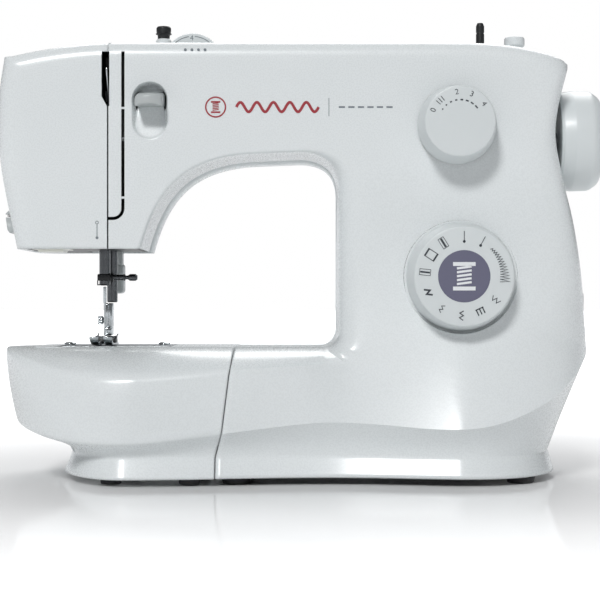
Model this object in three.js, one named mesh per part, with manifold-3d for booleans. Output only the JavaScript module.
// A compact household sewing machine with a free arm, a slide-on extension table and two front dials.
// Millimetres. +X to the machine's right, +Y to its back, +Z up. The origin is under the middle of its box.
import * as THREE from 'three';
import { mergeVertices } from 'three/addons/utils/BufferGeometryUtils.js';
import Module from 'manifold-3d';

const wasm = await Module();
wasm.setup();

// ---- Driving dimensions ----

const GAP = 0.3;                 // between two pieces that touch
const WALL = 2.8;                // moulded covers
const FAR = 400;                 // longer than the machine, for cutting blocks

const FOOT_HEIGHT = 4.5;         // rubber feet under the plinth
const NECK_Z = 15.5;             // groove above the plinth
const DECK_Z = 74;               // sewing surface
const DECK_FLAT = 28;            // the deck slopes away beyond this reach
const ARM_TOP = 241.6;
const ARM_BOTTOM = 181;
const HEAD_BOTTOM = 128;
const HEAD_LEFT = -167;
const HEAD_RIGHT = -88.7;
const PILLAR_LEFT = 20;
const PILLAR_RIGHT = 161;        // at the lower crease
const NOSE_LEFT = -168.7;        // tip of the extension table
const SEAM_X = -38;              // where the extension table meets the body
const ARM_FRONT = -44;
const ARM_BACK = 50;
const BASE_BACK = 76;
const SPLIT_Y = 12;              // front cover and rear cover meet here

const SHAFT = { y: 0, z: 190.8, radius: 5 };
const LOWER_SHAFT = { y: 0, z: 32, radius: 4 };
const NEEDLE = { x: -112, y: -8, barRadius: 3.1, barFoot: 108, barTop: 226 };
const PRESSER = { x: -109.3, y: 6, barRadius: 3 };
const HOOK = { x: -112, z: 42 };
const FREE_ARM = { left: -150, front: -30, back: 34, bottom: 12, toe: -124, bendZ: 54 };
const LENGTH_DIAL = { x: 84.4, z: 195.5, base: 21.5, face: 19 };
const PATTERN_DIAL = { x: 86, z: 112.6, base: 29.5, face: 26.8, seat: -50.3 };
const WHEEL = { left: 145, right: 168.7, radius: 28.6 };
const MOTOR = { y: 36.5, z: 72, radius: 17, left: 62, right: 112 };
const BELT = { left: 126.5, right: 133.5, wheelRadius: 30, motorRadius: 7 };
const TIMING = { left: 96, right: 102, radius: 11 };
const TENSION = { x: -61.1, y: -21, z: 232.5, radius: 16.5 };
const WINDER = { x: 101.9, y: 0 };

// ---- Finishes ----

const finish = (color, roughness, metalness = 0) => new THREE.MeshStandardMaterial({ color, roughness,
  metalness });
const whiteCover = finish(0xe6eaea, 0.35);
const dialPlastic = finish(0xdde2e3, 0.4);
const greyPlastic = finish(0xb8bcbc, 0.45);
const blackPlastic = finish(0x1d1e20, 0.5);
const rubber = finish(0x3a3a3a, 0.9);
const castAluminium = finish(0x9a9d9f, 0.6, 0.8);
const steel = finish(0xb9bbbd, 0.3, 1);
const darkSteel = finish(0x5f6264, 0.35, 1);
const boardGreen = finish(0x2f6b45, 0.6);
const lensPlastic = finish(0xf4f6f2, 0.15);

// ---- Solids ----

// A closed geometry as a solid that can be joined and cut.
function solid(geometry) {
  const bare = geometry.clone();
  bare.deleteAttribute('normal');
  bare.deleteAttribute('uv');
  const merged = mergeVertices(bare, 1e-4);
  return new wasm.Manifold(new wasm.Mesh({
    numProp: 3,
    vertProperties: new Float32Array(merged.attributes.position.array),
    triVerts: new Uint32Array(merged.index.array),
  }));
}

function geometryOf(body) {
  const mesh = body.getMesh();
  const geometry = new THREE.BufferGeometry();
  geometry.setAttribute('position', new THREE.BufferAttribute(new Float32Array(mesh.vertProperties), 3));
  geometry.setIndex(new THREE.BufferAttribute(new Uint32Array(mesh.triVerts), 1));
  return geometry;
}

const join = (first, ...rest) => rest.reduce((sum, next) => sum.add(next), first);
const cut = (first, ...rest) => rest.reduce((sum, next) => sum.subtract(next), first);
const meet = (first, ...rest) => rest.reduce((sum, next) => sum.intersect(next), first);

// A block between two corners.
function block(x0, x1, y0, y1, z0, z1) {
  const geometry = new THREE.BoxGeometry(x1 - x0, y1 - y0, z1 - z0);
  return solid(geometry.translate((x0 + x1) / 2, (y0 + y1) / 2, (z0 + z1) / 2));
}

// A turned piece: profile points are [radius, distance along the axis], from one end of the axis to the other.
function turned(profile, axis = 'z', sides = 24) {
  const geometry = new THREE.LatheGeometry(profile.map(([r, d]) => new THREE.Vector2(r, d)), sides);
  if (axis === 'z') geometry.rotateX(Math.PI / 2);
  if (axis === 'x') geometry.rotateZ(-Math.PI / 2);
  return solid(geometry);
}

const rod = (radius, from, to, axis = 'z', sides = 20) =>
  turned([[0, from], [radius, from], [radius, to], [0, to]], axis, sides);

const sleeve = (inner, outer, from, to, axis = 'z', sides = 28) =>
  turned([[inner, from], [outer, from], [outer, to], [inner, to], [inner, from]], axis, sides);

// An outline in X and Z, carried from y0 to y1.
function slabXZ(shape, y0, y1, steps = 8) {
  const geometry = new THREE.ExtrudeGeometry(shape,
    { depth: y1 - y0, bevelEnabled: false, curveSegments: steps });
  return solid(geometry.rotateX(Math.PI / 2).translate(0, y1, 0));
}

// An outline in Y and Z, carried from x0 to x1.
function slabYZ(shape, x0, x1, steps = 12) {
  const geometry = new THREE.ExtrudeGeometry(shape,
    { depth: x1 - x0, bevelEnabled: false, curveSegments: steps });
  geometry.applyMatrix4(new THREE.Matrix4().set(0, 0, 1, x0, 1, 0, 0, 0, 0, 1, 0, 0, 0, 0, 0, 1));
  return solid(geometry);
}

const outline = (...points) => new THREE.Shape(points.map(([a, b]) => new THREE.Vector2(a, b)));

// A box whose grid corners (i, j, k) are moved to place(i, j, k).
function mouldedBox(nx, ny, nz, place) {
  const geometry = new THREE.BoxGeometry(nx, ny, nz, nx, ny, nz);
  const at = geometry.attributes.position;
  for (let n = 0; n < at.count; n++) {
    const i = Math.round(at.getX(n) + nx / 2);
    const j = Math.round(at.getY(n) + ny / 2);
    const k = Math.round(at.getZ(n) + nz / 2);
    at.setXYZ(n, ...place(i, j, k));
  }
  return solid(geometry);
}

const moved = (body, x, y, z) => solid(geometryOf(body).translate(x, y, z));

// ---- The outer surface ----

const clamp01 = (t) => Math.min(1, Math.max(0, t));
const mix = (a, b, t) => a + (b - a) * t;
const smooth = (from, to, t) => {
  const s = clamp01((t - from) / (to - from));
  return s * s * (3 - 2 * s);
};

// A smooth line through points [x, value], flat beyond its ends.
function through(points) {
  const slope = (n) => {
    const a = points[Math.max(0, n - 1)];
    const b = points[Math.min(points.length - 1, n + 1)];
    return (b[1] - a[1]) / (b[0] - a[0]);
  };
  return (x) => {
    if (x <= points[0][0]) return points[0][1];
    const n = points.findIndex((p) => p[0] > x) - 1;
    if (n < 0) return points[points.length - 1][1];
    const span = points[n + 1][0] - points[n][0];
    const t = (x - points[n][0]) / span;
    const start = points[n][1] * (1 + 2 * t) * (1 - t) ** 2 + slope(n) * span * t * (1 - t) ** 2;
    const end = points[n + 1][1] * t * t * (3 - 2 * t) + slope(n + 1) * span * t * t * (t - 1);
    return start + end;
  };
}

// The lower crease runs round the base: its height, and how far forward it stands.
const creaseZ = through([[-161.5, 31], [-130, 24.7], [-90, 23.7], [-42, 28.8], [10, 34.1], [35, 33.6],
  [80, 31],
  [105, 34], [132, 45.2], [148, 57.5], [PILLAR_RIGHT, 72]]);
const creaseReach = through([[-165, 8], [-158, 30], [-145, 50], [-125, 66], [-95, 74], [15, 60], [85, 70]]);
// The upper crease is the front edge of the sewing surface.
const edgeZ = through([[NOSE_LEFT, 73.5], [-153, 68], [-125, 60.7], [-89, 59.2], [-37, 62.8], [0, 65.6],
  [24, 69.5]]);
const edgeReach = through([[NOSE_LEFT, 4], [-165, 14], [-153, 38], [-140, 52], [-125, 64], [-89, 70],
  [-37, 66],
  [0, 60], [24, 54]]);
const leftSide = through([[HEAD_BOTTOM, -157], [135, -158.5], [167, -165], [185, HEAD_LEFT], [212, HEAD_LEFT],
  [234, -164]]);
const rightSide = through([[72, PILLAR_RIGHT], [90, 159.5], [117, 156], [144, 151], [168, 145], [190, 141],
  [207, 142.5], [230, 148]]);
const topZ = (x) => ARM_TOP - 7.6 * clamp01((-97 - x) / 63) ** 2 - 11 * clamp01((x - 75) / 73) ** 3;

// How far the body reaches forward (side -1) or back (side +1) at a place on its outer surface.
function reach(x, z, right, side) {
  const flat = side < 0 ? -ARM_FRONT : ARM_BACK;
  const full = creaseReach(x) * (side < 0 ? 1 : BASE_BACK / 74);
  const fall = 1 - clamp01((z - creaseZ(x)) / (190 - creaseZ(x)));
  const lean = mix(1, smooth(0, 55, x), smooth(60, 125, z));
  const depth = flat + (full - flat) * lean * fall ** 2;
  const across = Math.min(0.995, clamp01((x - 85) / (right - 85)));
  const roundness = mix(2.3, 9, smooth(72, 200, z));
  return depth * (1 - across ** roundness) ** (1 / roundness);
}

// The upright body before its throat is cut: rows run from the plinth up to the top.
const BODY_STATIONS = [HEAD_LEFT, -163, -157, -135, -105, -50, 0, 25, 45, 65, 85, 100, 114, 127, 139, 149,
  156,
  PILLAR_RIGHT];
const BODY_ROWS = [0.15, 0.32, 0.48, 0.6, 0.7, 0.8, 0.88];
const TOP_ROUND = [7, 2, 0];
const COLUMNS = [0, 0.03, 0.5, 0.97, 1];

function uprightBody(inset = 0) {
  const rows = 3 + BODY_ROWS.length + TOP_ROUND.length;
  return mouldedBox(BODY_STATIONS.length - 1, COLUMNS.length - 1, rows - 1, (i, j, k) => {
    const station = BODY_STATIONS[i];
    const crease = creaseZ(station);
    const roundRow = k - 3 - BODY_ROWS.length;
    let z = [inset ? -5 : FOOT_HEIGHT, NECK_Z, crease][k];
    if (k > 2) z = mix(crease, topZ(station), BODY_ROWS[k - 3]);
    if (roundRow >= 0) z = topZ(station) - TOP_ROUND[roundRow];
    const right = k === 0 ? 143 : k === 1 ? 140 : rightSide(Math.max(z, 72));
    let x = station;
    if (station > 85) x = 85 + (station - 85) * (right - 85) / (PILLAR_RIGHT - 85);
    if (station < -135) x = -135 + (station + 135) * (leftSide(z) + 135) / (HEAD_LEFT + 135);
    const side = COLUMNS[j] < 0.5 ? -1 : 1;
    const undercut = [5, 9, 0][k] ?? 0;
    const cornerLeft = Math.max(0, 1 - (station - HEAD_LEFT) / 10) ** 2 * 8;
    const cornerTop = roundRow >= 0 ? (1 - TOP_ROUND[roundRow] / 7) ** 2 * 7 : 0;
    const far = Math.max(3, reach(x, Math.max(z, crease), right,
      side) - undercut - cornerLeft - cornerTop - inset);
    const y = side * far * Math.abs(2 * COLUMNS[j] - 1);
    const squeeze = inset / 140;
    return [x > -12 ? x - inset * clamp01((x + 12) / 140) : x + inset * clamp01((-12 - x) / 140),
      y, z - (k > 2 ? inset * clamp01((z - 120) / 100) : 0) - squeeze];
  });
}

// Everything left of the pillar and under the arm is cut away.
function throat(grow = 0) {
  const shape = new THREE.Shape();
  const bottom = grow ? HEAD_BOTTOM - 12 : HEAD_BOTTOM;
  shape.moveTo(-FAR, -FAR);
  shape.lineTo(-FAR, bottom);
  shape.lineTo(HEAD_RIGHT - grow, bottom);
  if (grow) shape.lineTo(HEAD_RIGHT - grow, HEAD_BOTTOM);
  shape.bezierCurveTo(-80 - grow, 160, -66 - grow, ARM_BOTTOM - 4 + grow, -30, ARM_BOTTOM - 1.2 + grow);
  shape.lineTo(-2, ARM_BOTTOM + grow);
  shape.quadraticCurveTo(PILLAR_LEFT + grow, ARM_BOTTOM + grow, PILLAR_LEFT + grow, 160);
  shape.lineTo(PILLAR_LEFT + grow, -FAR);
  return slabXZ(shape, -FAR, FAR);
}

// The base under the throat and the extension table are one form, cut at the seam.
const PLINTH_LEFT = [-135, -130, -161.5, NOSE_LEFT];     // bottom, neck, lower crease, upper crease
const DECK_COLUMNS = [0, 0.12, 0.26, 0.4, 0.6, 0.74, 0.88, 1];

function baseBlock(stations, inset = 0, floor = FOOT_HEIGHT) {
  return mouldedBox(stations.length - 1, DECK_COLUMNS.length - 1, 3, (i, j, k) => {
    const station = stations[i];
    const along = clamp01((-100 - station) / (-100 - NOSE_LEFT));
    const x = station < -100 ? mix(-100, PLINTH_LEFT[k] + inset, along) : station;
    const far = (k === 3 ? edgeReach(station) : creaseReach(station) - [4, 8, 0][k]) - inset;
    const y = mix(-Math.max(2, far), Math.max(2, far), DECK_COLUMNS[j]);
    const flatTo = Math.min(DECK_FLAT, 0.4 * edgeReach(station));
    const slope = clamp01((Math.abs(y) - flatTo) / (edgeReach(station) - flatTo));
    const deck = DECK_Z - (DECK_Z - edgeZ(station)) * slope ** 2 - inset;
    return [x, y, [floor, NECK_Z, creaseZ(station), deck][k]];
  });
}

const BASE_STATIONS = [-60, -38, -20, 0, 24];
const TABLE_STATIONS = [NOSE_LEFT, -166, -160, -152, -142, -130, -115, -95, -70, -50, -30];

// The seam leans: it is at SEAM_X on the deck and further left at the floor.
const seamLine = (shift, toRight) => slabXZ(outline([SEAM_X + 1 + shift, 300], [SEAM_X + 1 + shift, 60],
  [SEAM_X - 8.5 + shift, -10], [toRight * FAR, -10], [toRight * FAR, 300]), -FAR, FAR);

const behind = (y) => block(-FAR, FAR, y, FAR, -FAR, FAR);
const infront = (y) => block(-FAR, FAR, -FAR, y, -FAR, FAR);

// ---- Covers ----

const bodyOutside = join(cut(uprightBody(), throat()), meet(baseBlock(BASE_STATIONS), seamLine(0.4, 1)));
const bodyInside = join(cut(uprightBody(WALL), throat(WALL)),
  meet(baseBlock(BASE_STATIONS, WALL, -5), seamLine(0.4 + WALL, 1)));

const armDoor = block(-60, -30, FREE_ARM.front + 4, FREE_ARM.back - 4, FREE_ARM.bottom + 5, DECK_Z - 6);
const takeUpSlot = block(-109.5, -105.7, -FAR, -30, 206, 236);
const threadSlot = block(-98.9, -97.1, -FAR, -30, 149.4, 235.5);
const headSeam = block(-106.5, -106.1, -FAR, SPLIT_Y, 100, 300);
const tensionSlot = block(TENSION.x - 16.2, TENSION.x + 16.2, TENSION.y - 4.2, TENSION.y + 4.2, 225, 260);
const winderSlot = block(WINDER.x - 4, WINDER.x + 11, WINDER.y - 4, WINDER.y + 4, 230, 260);
const shaftHole = moved(rod(SHAFT.radius + 1.5, 120, 170, 'x'), 0, SHAFT.y, SHAFT.z);
const lengthHole = moved(rod(4.8, -60, -30, 'y'), LENGTH_DIAL.x, 0, LENGTH_DIAL.z);
const patternHole = moved(rod(5.8, -70, -30, 'y'), PATTERN_DIAL.x, 0, PATTERN_DIAL.z);
const patternSeat = moved(rod(31, -90, PATTERN_DIAL.seat, 'y', 40), PATTERN_DIAL.x, 0, PATTERN_DIAL.z);
const patternBoss = moved(rod(33, PATTERN_DIAL.seat - 9, PATTERN_DIAL.seat + 2.8, 'y', 40), PATTERN_DIAL.x, 0,
  PATTERN_DIAL.z);
const wheelSeat = moved(rod(30.5, WHEEL.left - 0.4, 190, 'x', 36), 0, SHAFT.y, SHAFT.z);
const spoolHole = moved(rod(3.2, 225, 250), -20, 30, 0);
const inletHole = block(130, 175, 13.2, 33.8, 83.7, 104.3);
const switchHole = block(130, 175, -21.3, -3.7, 83.7, 104.3);

// The reverse lever sits in an upright oval pocket.
const POCKET = { left: -93.2, right: -73.4, bottom: 187.3, top: 219.5, floorY: -31 };
function pocketOutline() {
  const r = (POCKET.right - POCKET.left) / 2;
  const x = (POCKET.right + POCKET.left) / 2;
  const shape = new THREE.Shape();
  shape.absarc(x, POCKET.top - r, r, 0, Math.PI);
  shape.absarc(x, POCKET.bottom + r, r, Math.PI, 2 * Math.PI);
  return shape;
}
const pocketBoss = block(POCKET.left - 3, POCKET.right + 3, -43, POCKET.floorY + 2.5, POCKET.bottom - 2,
  POCKET.top + 3);
const pocketHollow = slabXZ(pocketOutline(), -FAR, POCKET.floorY);
const leverSlot = block(-86.5, -80.1, -40, -20, 189, 217);

const shell = cut(bodyOutside, bodyInside);
const bossed = join(shell, meet(bodyOutside, patternBoss), meet(bodyOutside, pocketBoss));
const openings = [armDoor, takeUpSlot, threadSlot, tensionSlot, winderSlot, shaftHole, lengthHole,
  patternHole,
  patternSeat, wheelSeat, pocketHollow, leverSlot, spoolHole, inletHole, switchHole];
const casing = cut(bossed, ...openings);
const headLeft = block(-FAR, -106.5, -FAR, SPLIT_Y - GAP / 2, 100, 300);
const frontCover = cut(meet(casing, infront(SPLIT_Y - GAP / 2)), headLeft, headSeam);
const faceCover = meet(casing, headLeft);

// Two ears on the back of the arm hold the carrying handle.
const HANDLE = { y: 58, z: 222, span: 84, drop: 38 };
const handleEar = (x0, x1) => cut(block(x0, x1, 46, 63, HANDLE.z - 6, HANDLE.z + 6),
  moved(rod(2.9, x0 - 1, x1 + 1, 'x'), 0, HANDLE.y, HANDLE.z));
const rearShell = meet(casing, behind(SPLIT_Y + GAP / 2));
const rearCover = join(rearShell, handleEar(-HANDLE.span - 7, -HANDLE.span),
  handleEar(HANDLE.span, HANDLE.span + 7));

const headBottomPlate = cut(
  meet(uprightBody(WALL + 0.5), block(-FAR, HEAD_RIGHT - WALL - 0.5, -FAR, FAR, HEAD_BOTTOM + 0.4,
    HEAD_BOTTOM + 2.6)),
  moved(rod(4.2, 100, 150), NEEDLE.x, NEEDLE.y, 0), moved(rod(4.2, 100, 150), PRESSER.x, PRESSER.y, 0),
block(-126, -91, 25, 60, 100, 150), block(-150.3, -129.7, -30.3, -4.7, 100, 150));
const basePlate = meet(join(cut(uprightBody(WALL + 0.6), throat(WALL + 0.6)),
  meet(baseBlock(BASE_STATIONS, WALL + 0.6, -5), seamLine(0.4 + WALL + 0.6, 1))),
block(-FAR, FAR, -FAR, FAR, FOOT_HEIGHT + 0.2, FOOT_HEIGHT + 2.6));

// ---- Free arm and extension table ----

function freeArmOutline(inset) {
  const { left, front, back } = FREE_ARM;
  const r = 12 - inset;
  const shape = new THREE.Shape();
  shape.moveTo(-20, front + inset);
  shape.lineTo(-20, back - inset);
  shape.absarc(left + 12, back - 12, r, Math.PI / 2, Math.PI);
  shape.absarc(left + 12, front + 12, r, Math.PI, 1.5 * Math.PI);
  return shape;
}
// An outline in X and Y, carried up from z0 to z1.
function slabXY(shape, z0, z1, steps = 6) {
  const geometry = new THREE.ExtrudeGeometry(shape,
    { depth: z1 - z0, bevelEnabled: false, curveSegments: steps });
  return solid(geometry.translate(0, 0, z0));
}
// The free arm's end slopes in under the nose of the table.
const armProfile = (inset) => slabXZ(outline([FREE_ARM.left + inset, 300],
  [FREE_ARM.left + inset, FREE_ARM.bendZ],
  [FREE_ARM.toe + inset, FREE_ARM.bottom - 0.5], [FREE_ARM.toe + inset, -20], [0, -20], [0, 300]), -FAR, FAR);
const PLATE = { left: -137.9, right: -73.6, front: -24, back: 28, top: 74.1, bottom: 72.4 };
const hookDoor = block(-131.5, -84.5, -60, -20, 26, 64);
const freeArmCover = cut(meet(slabXY(freeArmOutline(0), FREE_ARM.bottom, DECK_Z), seamLine(-0.2, -1),
  armProfile(0)), meet(slabXY(freeArmOutline(2.4), FREE_ARM.bottom + 2.4, DECK_Z - 2.4), armProfile(2.8)),
    hookDoor,
  block(-60, 0, FREE_ARM.front + 2.4, FREE_ARM.back - 2.4, FREE_ARM.bottom + 2.4, DECK_Z - 2.4),
  block(PLATE.left - GAP, PLATE.right + GAP, PLATE.front - GAP, PLATE.back + GAP, 60, 90));
const hookCover = join(block(-131, -85, -33, -30.4, 26.5, 63.5), block(-128, -88, -30.6, -28.6, 28, 33));

const armClearance = join(
  block(-FAR, FAR, FREE_ARM.front - 4.5, FREE_ARM.back + 0.5, -10, DECK_Z - 4),
  block(-FAR, FAR, FREE_ARM.front - 0.5, FREE_ARM.back + 0.5, DECK_Z - 5, 90));
const tableOutside = meet(baseBlock(TABLE_STATIONS), seamLine(-0.4, -1));
const extensionTable = cut(tableOutside, baseBlock(TABLE_STATIONS, 2.5, FOOT_HEIGHT + 3),
  meet(armClearance, armProfile(-0.7)));

// ---- Frame ----

const frameHole = (radius, x, y, z, axis) => moved(rod(radius, -30, 30, axis), x, y, z);
const lug = (x, shaft) => block(x - 3, x + 3, shaft.y - 9, 17, shaft.z - 6.5, shaft.z + 9);
const chassis = cut(join(
  block(-124, 124, 14, 19, 186, 222),                               // along the arm
  block(-124, -98, 14, 19, 134, 190),                               // down the head
  block(26, 58, 14, 19, 12, 190),                                   // down the pillar
  block(-124, 126, 14, 19, 18.5, 30),                               // along the base and the free arm
  block(-118, -105, -13, 15, 212, 218),                             // upper guide for the two bars
  block(-118, -105, -13, 15, 136, 142),                             // lower guide
  block(-120, -104, 6.4, 15, 18.5, 30),                              // seat for the shuttle race
  lug(-89, SHAFT), lug(48, SHAFT), lug(112, SHAFT),
  block(-79, -73, -8, 17, 19, 40), block(60, 66, -8, 17, 19, 40)),
frameHole(NEEDLE.barRadius + GAP, NEEDLE.x, NEEDLE.y, 215, 'z'),
frameHole(NEEDLE.barRadius + GAP, NEEDLE.x, NEEDLE.y, 139, 'z'),
frameHole(PRESSER.barRadius + GAP, PRESSER.x, PRESSER.y, 215, 'z'),
frameHole(PRESSER.barRadius + GAP, PRESSER.x, PRESSER.y, 139, 'z'),
moved(rod(SHAFT.radius + GAP, -100, 130, 'x'), 0, SHAFT.y, SHAFT.z),
moved(rod(LOWER_SHAFT.radius + GAP, -100, 80, 'x'), 0, LOWER_SHAFT.y, LOWER_SHAFT.z));

const needlePlate = cut(block(PLATE.left, PLATE.right, PLATE.front, PLATE.back, PLATE.bottom, PLATE.top),
  block(-117.6, -114.8, -21, 6, 70, 80), block(-109.2, -106.4, -21, 6, 70, 80),
  block(-114.6, -109.4, -9, -7, 70, 80),
  frameHole(2.4, -133, 2, 74, 'z'), frameHole(2.4, -79, 2, 74, 'z'));
const plateScrew = turned([[0, -2], [2, -2], [2, -0.2], [3.6, -0.2], [3.2, 1.1], [0, 1.3]], 'z', 14);

// ---- Shafts, pulleys and belts ----

function beltOutline(y0, z0, r0, y1, z1, r1) {
  const heading = Math.atan2(z1 - z0, y1 - y0);
  const half = Math.acos((r0 - r1) / Math.hypot(y1 - y0, z1 - z0));
  const shape = new THREE.Shape();
  shape.absarc(y0, z0, r0, heading + half, heading - half + 2 * Math.PI);
  shape.absarc(y1, z1, r1, heading - half, heading + half);
  return shape;
}
const belt = (from, r0, to, r1, x0, x1, thick) => cut(
  slabYZ(beltOutline(from.y, from.z, r0 + thick, to.y, to.z, r1 + thick), x0, x1, 9),
  slabYZ(beltOutline(from.y, from.z, r0, to.y, to.z, r1), x0 - 1, x1 + 1, 9));

const armShaft = turned([[0, -97], [SHAFT.radius, -97], [SHAFT.radius, BELT.left - 1],
  [BELT.wheelRadius, BELT.left - 1],
  [BELT.wheelRadius, BELT.right + 1], [SHAFT.radius, BELT.right + 1], [SHAFT.radius, WHEEL.left + 3],
  [0, WHEEL.left + 3]], 'x', 28);
const handWheel = cut(turned([[0, WHEEL.left], [20, WHEEL.left], [25, WHEEL.left + 1.2],
  [WHEEL.radius, WHEEL.left + 6],
  [WHEEL.radius, WHEEL.right - 9], [26, WHEEL.right - 3], [21, WHEEL.right], [0, WHEEL.right]], 'x', 36),
rod(SHAFT.radius + 0.4, WHEEL.left - 5, WHEEL.left + 3.4, 'x'));
const pulley = (bore, radius) => sleeve(bore, radius, TIMING.left - 0.5, TIMING.right + 0.5, 'x', 24);
const crankDisc = join(rod(13, -103.4, -97.3, 'x', 32), moved(rod(2, -106, -103.2, 'x'), 0, 9, 0));
const lowerShaft = rod(LOWER_SHAFT.radius, -83, 108, 'x');
const motorHousing = join(rod(MOTOR.radius, MOTOR.left, MOTOR.right, 'x', 32),
  rod(9, MOTOR.right - 1, MOTOR.right + 3, 'x'));
const motorPulley = turned([[0, MOTOR.right + 3.4], [3, MOTOR.right + 3.4], [3, BELT.left - 1],
  [BELT.motorRadius, BELT.left - 1], [BELT.motorRadius, BELT.right + 1], [0, BELT.right + 1]], 'x', 20);

// ---- Needle and presser foot ----

const needleBar = rod(NEEDLE.barRadius, NEEDLE.barFoot, NEEDLE.barTop);
const needleClamp = cut(block(-3.8, 3.8, -4.6, 4.6, 110.9, 114.7), rod(NEEDLE.barRadius + GAP, 100, 120));
const needleClampScrew = turned([[0, 4.1], [1.1, 4.1], [1.1, 11.3], [1.95, 11.5], [1.95, 18.4], [0, 18.6]],
  'x', 14);
const needle = turned([[0, 79], [0.45, 82], [0.5, 106.5], [1, 107.6], [0, 107.7]], 'z', 12);
const takeUpLever = join(
  slabYZ(outline([-21, 193], [-14, 193], [-14, 200], [-34, 228.5], [-39.5, 228.5], [-39.5, 223]), -108.3,
    -106.8),
  moved(rod(3, -109.2, -106.8, 'x'), 0, -18, 196));
const presserBar = rod(PRESSER.barRadius, 98.6, 205);
const presserSpring = sleeve(PRESSER.barRadius + GAP, PRESSER.barRadius + 2, 146, 172, 'z', 20);
const footHolder = join(block(-113.6, -108.6, 2, 9, 82, 98.2), block(-113.6, -108.6, -2.5, 9, 79.5, 84));
const footThumbScrew = turned([[0, -117.4], [2.6, -117.4], [2.6, -114.2], [1.4, -113.9], [0, -113.9]], 'x',
  20);
const presserFoot = cut(join(block(-118.6, -105.6, -22, 9, 74.5, 76.2), block(-117.2, -107, -11, 6, 76, 79.1),
  slabYZ(outline([-22, 74.5], [-22, 76.2], [-27, 80.5], [-28, 79.4]), -118.6, -105.6)),
block(-114.8, -109.2, -9.6, -6.4, 70, 90), block(-113.2, -110.8, -40, -9, 70, 90));
const lifterArm = join(block(-109.2, -106.2, 30, 40, 121, 140), block(-112.5, -105.6, 30, 46, 103.8, 121.6));

// ---- Feed, hook and bobbin ----

const needleWay = block(NEEDLE.x - 1.9, NEEDLE.x + 1.9, NEEDLE.y - 4, NEEDLE.y + 4, 50, 90);
const feedDog = cut(join(block(-118.5, -105.5, -18, 7, 65, 70.5), block(-117.2, -115.2, -16.5, 1.5, 70, 73.4),
  block(-108.8, -106.8, -16.5, 1.5, 70, 73.4)), needleWay);
const feedBar = cut(join(block(-126, -64, 10.5, 13.5, 60, 70.2), block(-121, -103, -14, 12, 62.9, 64.6)),
  needleWay);
const shuttleRace = sleeve(17, 20, -6, 6, 'y', 32);
const shuttleHook = cut(sleeve(10, 16.6, -5, 5, 'y', 32), block(6, 30, -10, 10, 3, 8));
const bobbinCase = turned([[0, -22], [12.8, -22], [12.8, -10.6], [11.2, -10.6], [11.2, -20.4], [0, -20.4]],
  'y', 24);
const bobbin = turned([[0, -20], [10.6, -20], [10.6, -19], [4, -19], [4, -12], [10.6, -12], [10.6, -11],
  [0, -11]],
  'y', 20);

// ---- Controls ----

const dial = (size, depth, stub) => turned([[0, -depth], [size.face - 1.2, -depth], [size.face, 1.2 - depth],
  [size.base - 1, -depth * 0.35], [size.base, -depth * 0.2], [size.base, 0], [stub, 0], [stub, 9], [0, 9]],
    'y', 32);
const lengthDial = dial(LENGTH_DIAL, 20.5, 4);
const patternDial = dial(PATTERN_DIAL, 19.2, 5);
const camStack = turned([[0, 0], [10, 0], [12.5, 1], [11, 5], [14, 6], [12, 12], [15, 13], [13, 21],
  [0, 21]], 'y', 20);
const reverseLever = join(
  slabYZ(outline([-57, 206], [-55, 205], [-36, 205], [-36, 215], [-52, 215], [-56.5, 211]), -91, -75.4),
  block(-84.8, -81.8, -37, -6, 207, 213),
  moved(rod(4.5, -84.8, -81.8, 'x'), 0, -6, 210));
const tensionDial = cut(turned([[0, -3.6], [TENSION.radius - 0.8, -3.6], [TENSION.radius, -2.8],
  [TENSION.radius, 2.8], [TENSION.radius - 0.8, 3.6], [0, 3.6]], 'y', 32), rod(2.4, -10, 10, 'y'));
const winderBracket = cut(block(-12, 12, -11, 11, 225, 230.5), rod(2.9, 200, 250));
const winderSpindle = turned([[0, 214], [9, 214], [9, 218], [2.4, 218.5], [2.4, 241], [2.9, 242.5],
  [2.9, 246.5],
  [2.35, 248], [2.35, 257], [1.6, 258.5], [0, 258.5]], 'z', 16);
const winderStopper = turned([[0, 239.5], [2.7, 239.5], [2.7, 245], [5.4, 245], [5.8, 245.6], [5.8, 249.6],
  [5.3, 250.2], [0, 250.2]], 'z', 18);
const guidePost = turned([[0, 242], [3.1, 242], [3.15, 244.5], [4.4, 245], [4.4, 249.2], [0, 249.2]], 'z',
  16);
const guideCap = turned([[0, 249.5], [4.6, 249.5], [4.6, 250.6], [4.2, 250.8], [4.2, 255.6], [3.6, 256.4],
  [0, 256.4]],
  'z', 16);
const spoolPin = turned([[0, 186], [2.6, 186], [2.6, 240], [2, 240.8], [0, 240.8]], 'z', 20);
const threadCutter = cut(slabXZ(outline([-167.4, 139.5], [-163.2, 137.6], [-162.8, 151.5], [-167.4, 151]),
  -14, 2),
  slabXZ(outline([-169, 149.3], [-169, 148], [-164.6, 145.8]), -20, 10));
const handleFrame = join(
  block(-HANDLE.span + 0.5, -HANDLE.span + 7.5, HANDLE.y - 4, HANDLE.y + 4, HANDLE.z - HANDLE.drop + 1,
    HANDLE.z + 4),
  block(HANDLE.span - 7.5, HANDLE.span - 0.5, HANDLE.y - 4, HANDLE.y + 4, HANDLE.z - HANDLE.drop + 1,
    HANDLE.z + 4),
  block(-HANDLE.span + 0.5, HANDLE.span - 0.5, HANDLE.y - 6, HANDLE.y + 6, HANDLE.z - HANDLE.drop,
    HANDLE.z - HANDLE.drop + 11),
  moved(rod(2.5, -HANDLE.span - 6, -HANDLE.span + 2, 'x'), 0, HANDLE.y, HANDLE.z),
  moved(rod(2.5, HANDLE.span - 2, HANDLE.span + 6, 'x'), 0, HANDLE.y, HANDLE.z));
const powerInlet = cut(block(138, 153.4, 13.5, 33.5, 84, 104), block(142, FAR, 16, 31, 87, 101));
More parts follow.
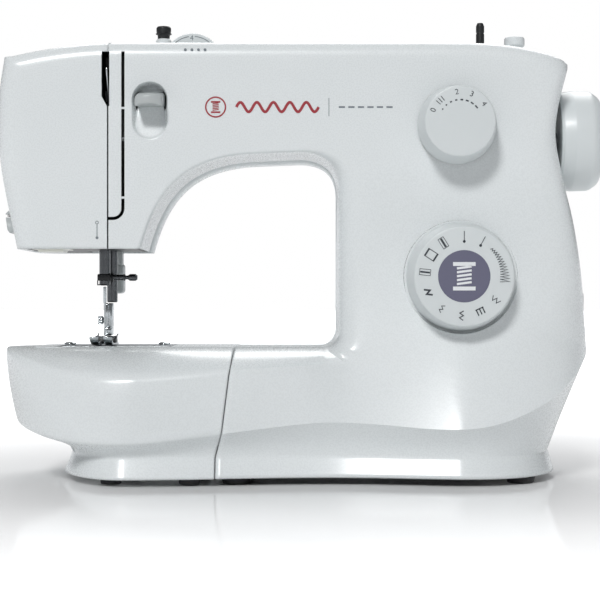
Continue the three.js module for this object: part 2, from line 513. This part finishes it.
const powerSwitch = slabXZ(outline([146, 86], [155.5, 86], [153.6, 94], [153.2, 102], [146, 102]), -19.5,
  -5.5);
const lampLens = join(block(-150, -130, -30, -5, HEAD_BOTTOM + 0.1, HEAD_BOTTOM + 2.4),
  block(-147, -133, -27, -8, HEAD_BOTTOM - 1.2, HEAD_BOTTOM + 1));
const rubberFoot = turned([[0, 0], [7, 0], [7.6, 0.8], [8, FOOT_HEIGHT - 0.1], [0, FOOT_HEIGHT - 0.1]], 'z',
  16);
const circuitBoard = block(28, 57, 42, 43.6, 30, 92);

// ---- Assembly ----

const machine = new THREE.Group();

function piece(name, body, material, x = 0, y = 0, z = 0, parent = machine) {
  const mesh = new THREE.Mesh(geometryOf(body), material);
  mesh.name = name;
  mesh.position.set(x, y, z);
  parent.add(mesh);
  return mesh;
}

function groupAt(x, y, z) {
  const group = new THREE.Group();
  group.position.set(x, y, z);
  machine.add(group);
  return group;
}

piece('chassis', chassis, castAluminium);
piece('front_cover', frontCover, whiteCover);
piece('rear_cover', rearCover, whiteCover);
piece('face_cover', faceCover, whiteCover);
piece('head_bottom_plate', headBottomPlate, blackPlastic);
piece('base_plate', basePlate, greyPlastic);
piece('free_arm_cover', freeArmCover, whiteCover);
piece('hook_cover', hookCover, whiteCover);
piece('extension_table', extensionTable, whiteCover);
piece('needle_plate', needlePlate, steel);
piece('needle_plate_screw_left', plateScrew, steel, -133, 2, PLATE.top + 0.5);
piece('needle_plate_screw_right', plateScrew, steel, -79, 2, PLATE.top + 0.5);

const upperLine = groupAt(0, SHAFT.y, SHAFT.z);
piece('arm_shaft', armShaft, steel, 0, 0, 0, upperLine);
piece('hand_wheel', handWheel, whiteCover, 0, 0, 0, upperLine);
piece('upper_pulley', pulley(SHAFT.radius + GAP, TIMING.radius), steel, 0, 0, 0, upperLine);
piece('crank_disc', crankDisc, steel, 0, 0, 0, upperLine);

const lowerLine = groupAt(0, LOWER_SHAFT.y, LOWER_SHAFT.z);
piece('lower_shaft', lowerShaft, steel, 0, 0, 0, lowerLine);
piece('lower_pulley', pulley(LOWER_SHAFT.radius + GAP, TIMING.radius), steel, 0, 0, 0, lowerLine);
piece('timing_belt', belt(LOWER_SHAFT, TIMING.radius + GAP, SHAFT, TIMING.radius + GAP, TIMING.left,
  TIMING.right, 1.6),
  rubber);
piece('drive_belt', belt(MOTOR, BELT.motorRadius + GAP, SHAFT, BELT.wheelRadius + GAP, BELT.left,
  BELT.right, 2.2),
  rubber);

const motorLine = groupAt(0, MOTOR.y, MOTOR.z);
piece('motor_housing', motorHousing, darkSteel, 0, 0, 0, motorLine);
piece('motor_pulley', motorPulley, steel, 0, 0, 0, motorLine);

const needleLine = groupAt(NEEDLE.x, NEEDLE.y, 0);
piece('needle_bar', needleBar, darkSteel, 0, 0, 0, needleLine);
piece('needle_clamp', needleClamp, darkSteel, 0, 0, 0, needleLine);
piece('needle_clamp_screw', needleClampScrew, darkSteel, 0, 0, 112.8, needleLine);
piece('needle', needle, steel, 0, 0, 0, needleLine);
piece('take_up_lever', takeUpLever, steel);

piece('presser_bar', presserBar, darkSteel, PRESSER.x, PRESSER.y, 0);
piece('presser_spring', presserSpring, steel, PRESSER.x, PRESSER.y, 0);
piece('foot_holder', footHolder, steel);
piece('foot_thumb_screw', footThumbScrew, steel, 0, PRESSER.y, 88.4);
piece('presser_foot', presserFoot, steel);
piece('presser_lifter', lifterArm, greyPlastic);

piece('feed_bar', feedBar, steel);
piece('feed_dog', feedDog, steel);
const hookLine = groupAt(HOOK.x, 0, HOOK.z);
piece('shuttle_race', shuttleRace, darkSteel, 0, 0, 0, hookLine);
piece('shuttle_hook', shuttleHook, steel, 0, 0, 0, hookLine);
piece('bobbin_case', bobbinCase, steel, 0, 0, 0, hookLine);
piece('bobbin', bobbin, steel, 0, 0, 0, hookLine);

piece('stitch_length_dial', lengthDial, dialPlastic, LENGTH_DIAL.x, -45.2, LENGTH_DIAL.z);
piece('pattern_dial', patternDial, dialPlastic, PATTERN_DIAL.x, PATTERN_DIAL.seat - 0.4, PATTERN_DIAL.z);
piece('pattern_cam_stack', camStack, greyPlastic, PATTERN_DIAL.x, PATTERN_DIAL.seat + 9, PATTERN_DIAL.z);
piece('reverse_lever', reverseLever, greyPlastic);
piece('tension_dial', tensionDial, dialPlastic, TENSION.x, TENSION.y, TENSION.z);
piece('winder_bracket', winderBracket, greyPlastic, WINDER.x, WINDER.y, 0);
piece('winder_spindle', winderSpindle, blackPlastic, WINDER.x, WINDER.y, 0);
piece('winder_stopper', winderStopper, whiteCover, 121.5, WINDER.y, 0);
piece('guide_post', guidePost, whiteCover, -79.2, 0, 0);
piece('guide_cap', guideCap, blackPlastic, -79.2, 0, 0);
piece('spool_pin', spoolPin, greyPlastic, -20, 30, 0);
piece('thread_cutter', threadCutter, greyPlastic);
piece('carrying_handle', handleFrame, whiteCover);
piece('power_inlet', powerInlet, blackPlastic);
piece('power_switch', powerSwitch, blackPlastic);
piece('lamp_lens', lampLens, lensPlastic);
piece('circuit_board', circuitBoard, boardGreen);

const feet = { front_left: [-36, -46], front_right: [119.5, -42], back_left: [-36, 46],
  back_right: [119.5, 42] };
for (const [place, [x, y]] of Object.entries(feet)) piece(`rubber_foot_${place}`, rubberFoot, rubber, x, y,
  0);

export default machine;
